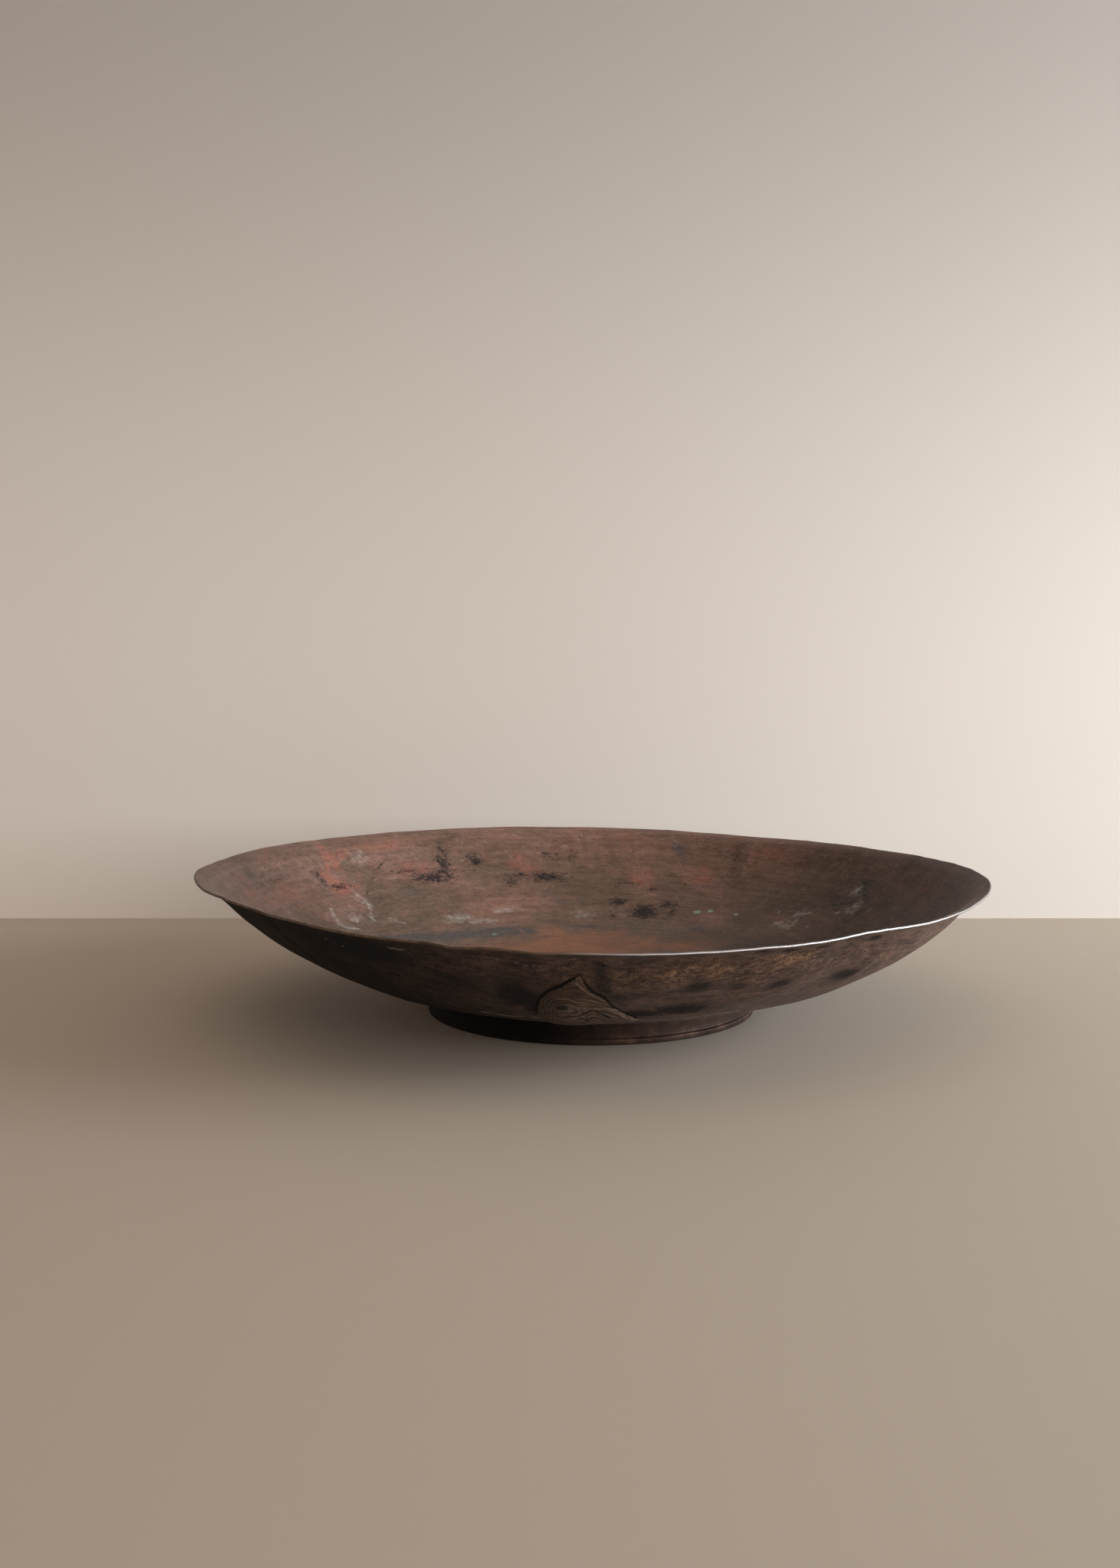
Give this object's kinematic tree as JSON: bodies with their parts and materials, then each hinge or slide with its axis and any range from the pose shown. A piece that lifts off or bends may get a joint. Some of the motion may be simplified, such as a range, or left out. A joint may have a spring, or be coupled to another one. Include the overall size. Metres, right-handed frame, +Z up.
{
  "type": "footed hammered copper bowl",
  "caption": "Wide shallow hand-hammered copper bowl with a wavy turned-out rim, a soldered foot ring and a lapped repair patch; holds fruit or stands as an ornament.",
  "frame": {"origin": "on the surface that the bowl stands on, under the centre of the foot ring", "axes": "+Z up through the middle of the bowl, -Y towards the side with the repair patch"},
  "size_m": [0.4504, 0.4504, 0.0837],
  "materials": {
    "bowl_copper": "hammered copper with a dark red-brown patina, worn bright along the rim",
    "foot_copper": "dark red-brown copper, rubbed brighter along the bead at the base",
    "solder": "dull grey old solder, lumpy",
    "patch_copper": "worn brown copper with flow ridges and a blackened edge"
  },
  "bodies": {
    "root": {"bowl_body": "bowl_copper", "foot_ring": "foot_copper", "foot_solder": "solder", "repair_patch": "patch_copper"}
  },
  "joints": []
}
